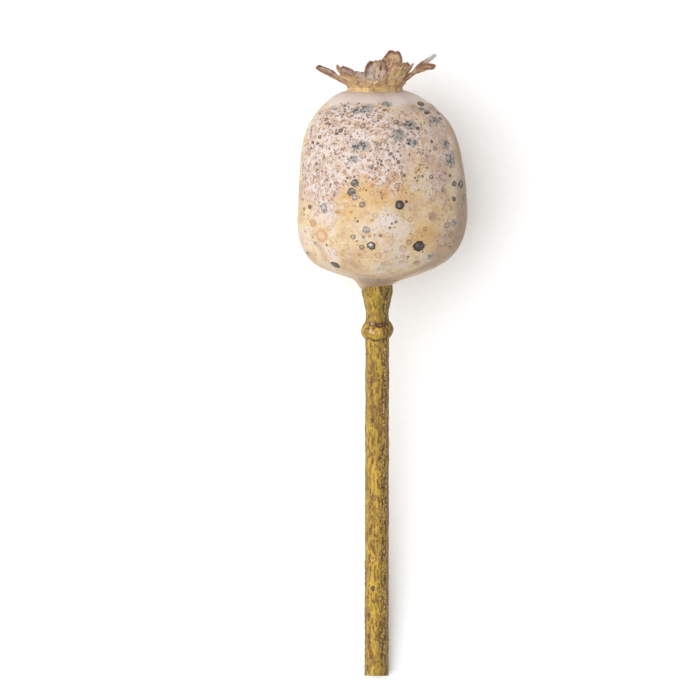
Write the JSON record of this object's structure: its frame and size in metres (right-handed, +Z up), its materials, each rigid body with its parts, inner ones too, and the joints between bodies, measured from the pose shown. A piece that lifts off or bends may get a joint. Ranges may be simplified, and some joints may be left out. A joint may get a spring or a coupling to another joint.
{
  "type": "poppy seed head",
  "caption": "Dried poppy seed head on a cut stalk: round blistered pod, flared crown of curled lobes, and a ringed stalk, lying on its side.",
  "frame": {"origin": "centre of the small flat spot under the pod that the seed head rests on", "axes": "+Y along the seed head towards the crown, +X to the right seen from above with the crown away, +Z up from the surface"},
  "size_m": [0.0446, 0.1668, 0.046],
  "materials": {
    "stalk_bark": "dry ridged bark, matt",
    "pod_skin": "dry waxy husk with a pale bloom, blistered and spotted, satin",
    "crown_husk": "thin dry husk, curled and wrinkled, matt to satin"
  },
  "bodies": {
    "root": {"stalk": "stalk_bark", "pod": "pod_skin", "crown": "crown_husk"}
  },
  "joints": []
}
